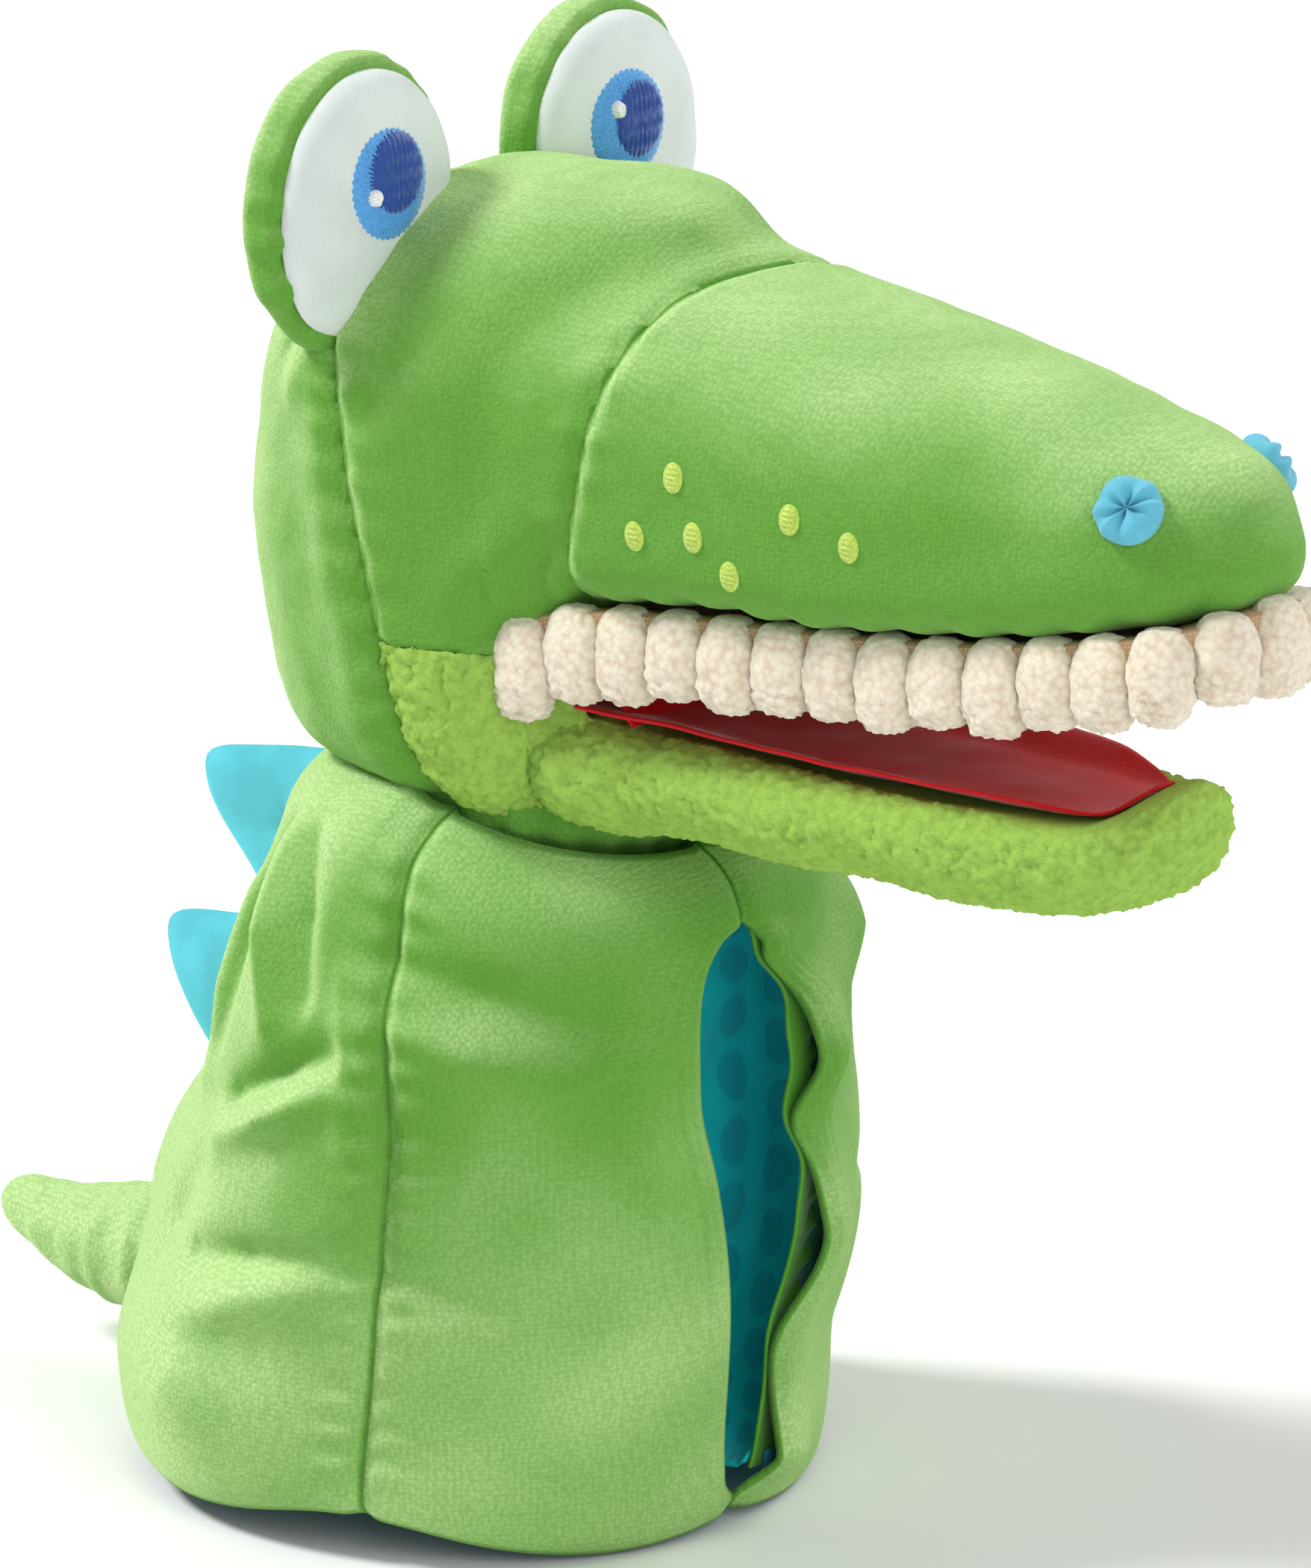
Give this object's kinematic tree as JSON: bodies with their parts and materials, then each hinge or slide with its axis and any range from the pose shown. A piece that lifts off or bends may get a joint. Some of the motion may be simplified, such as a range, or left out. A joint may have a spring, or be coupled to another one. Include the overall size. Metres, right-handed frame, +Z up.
{
  "type": "glove puppet",
  "caption": "Crocodile glove puppet with a hinged lower jaw, plush teeth, knob eyes, back fins, a tail and a lined slit in its belly.",
  "frame": {"origin": "middle of the hem opening, on the plane the hem stands on", "axes": "+Z up, the snout points along -Y, the crocodile's right side is -X"},
  "size_m": [0.161, 0.3655, 0.317],
  "materials": {
    "green_velour": "short soft pile with a sheen",
    "green_fleece": "curly yellow-green fleece",
    "green_facing": "smooth woven green cloth",
    "red_jersey": "smooth red jersey",
    "tooth_plush": "corded cream plush",
    "beige_tape": "woven beige tape",
    "teal_dots": "teal cloth with darker dots",
    "blue_hem": "smooth blue cloth",
    "blue_felt": "padded light blue felt",
    "light_blue_jersey": "gathered light blue jersey",
    "white_satin": "smooth white cloth",
    "iris_thread": "satin-stitched light blue thread",
    "pupil_thread": "dark blue thread",
    "glint_thread": "white thread",
    "spot_thread": "yellow-green thread",
    "white_filling": "polyester filling",
    "pocket_cloth": "thin green lining"
  },
  "bodies": {
    "torso": {"front_right_panel": "green_velour", "front_left_panel": "green_velour", "back_right_panel": "green_velour", "back_left_panel": "green_velour", "hem_facing": "blue_hem", "body_lining": "teal_dots", "slit_facing_right": "green_facing", "slit_facing_left": "green_facing", "belly_bag": "teal_dots", "shoulder_lining": "teal_dots", "back_fin_upper": "blue_felt", "back_fin_lower": "blue_felt"},
    "neck": {"hand_tunnel": "pocket_cloth"},
    "head": {"snout_panel": "green_velour", "head_back_panel": "green_velour", "throat_gusset": "green_fleece", "head_crown_panel": "green_velour", "palate_lining": "red_jersey", "mouth_back_lining": "red_jersey", "snout_stuffing": "white_filling", "head_stuffing": "white_filling", "finger_pocket": "pocket_cloth", "right_nostril": "light_blue_jersey", "left_nostril": "light_blue_jersey", "teeth_strip": "tooth_plush", "teeth_tape": "beige_tape", "right_cheek_spots": "spot_thread", "left_cheek_spots": "spot_thread", "right_eye_lid": "green_velour", "right_eye_white": "white_satin", "right_eye_stuffing": "white_filling", "right_iris": "iris_thread", "right_pupil": "pupil_thread", "right_glint": "glint_thread", "left_eye_lid": "green_velour", "left_eye_white": "white_satin", "left_eye_stuffing": "white_filling", "left_iris": "iris_thread", "left_pupil": "pupil_thread", "left_glint": "glint_thread"},
    "lower_jaw": {"jaw_cover": "green_fleece", "jaw_mouth_lining": "red_jersey", "jaw_stuffing": "white_filling", "thumb_pocket": "pocket_cloth"},
    "tail": {"tail_cover": "green_velour", "tail_stuffing": "white_filling"}
  },
  "joints": [
    {"name": "head_turn", "type": "hinge", "parent": "torso", "child": "neck", "pos_m": [0, -0.02, 0.13], "axis": [0, 0, 1], "range_deg": [-20, 20]},
    {"name": "head_nod", "type": "hinge", "parent": "neck", "child": "head", "pos_m": [0, -0.02, 0.19], "axis": [1, 0, 0], "range_deg": [-20, 8]},
    {"name": "jaw_hinge", "type": "hinge", "parent": "head", "child": "lower_jaw", "pos_m": [0, -0.045, 0.19], "axis": [1, 0, 0], "range_deg": [-8, 12]},
    {"name": "tail_wag", "type": "hinge", "parent": "torso", "child": "tail", "pos_m": [0, 0.0936, 0.019], "axis": [0, 0, 1], "range_deg": [-30, 30], "stiffness_Nm_per_rad": 0.02}
  ]
}
